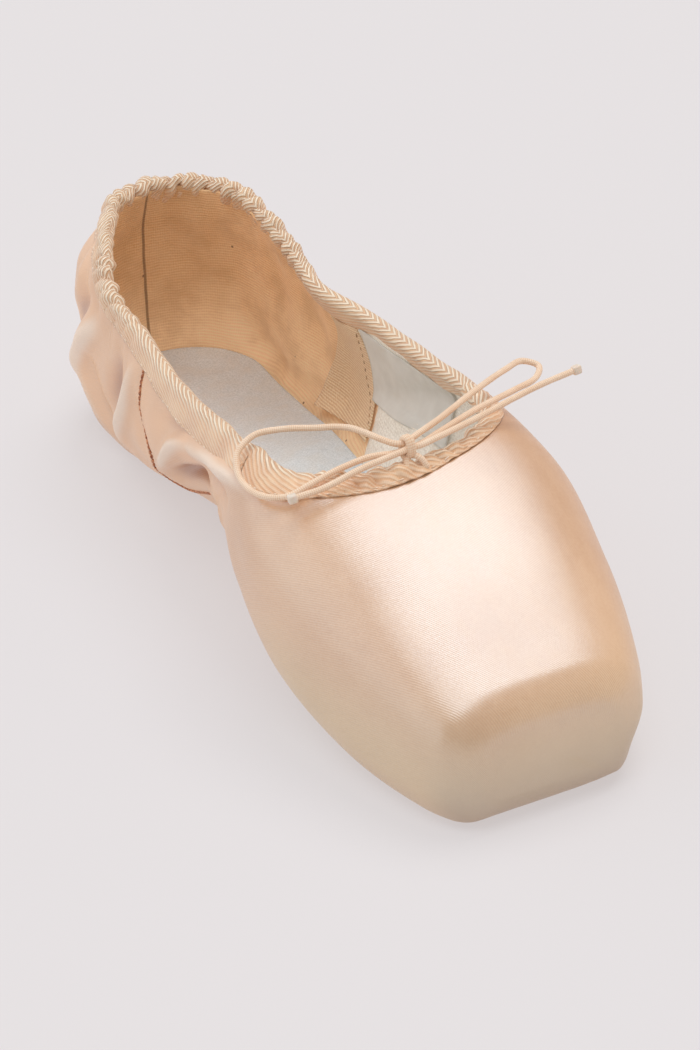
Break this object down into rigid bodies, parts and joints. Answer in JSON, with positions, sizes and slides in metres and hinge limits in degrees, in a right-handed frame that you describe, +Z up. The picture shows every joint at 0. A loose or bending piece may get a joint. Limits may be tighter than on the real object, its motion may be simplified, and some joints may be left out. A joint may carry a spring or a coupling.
{
  "type": "pointe shoe",
  "caption": "Ballet pointe shoe with a stiff square-toed box, soft gathered heel, bound collar with a drawstring bow, leather outsole and suede insole.",
  "frame": {"origin": "on the floor under the middle of the shoe's length and width", "axes": "+Z up; the toe platform faces -Y and the heel +Y; X runs across the shoe"},
  "size_m": [0.0951, 0.2333, 0.0652],
  "materials": {
    "satin": "peach satin",
    "sole_leather": "smooth tan leather",
    "suede": "pale grey suede",
    "tape": "herringbone cotton tape",
    "cord": "covered elastic cord"
  },
  "bodies": {
    "root": {"upper": "satin", "outsole": "sole_leather", "insole": "suede", "binding": "tape", "knot": "cord", "loop_left": "cord", "loop_right": "cord", "end_left": "cord", "end_right": "cord"}
  },
  "joints": []
}
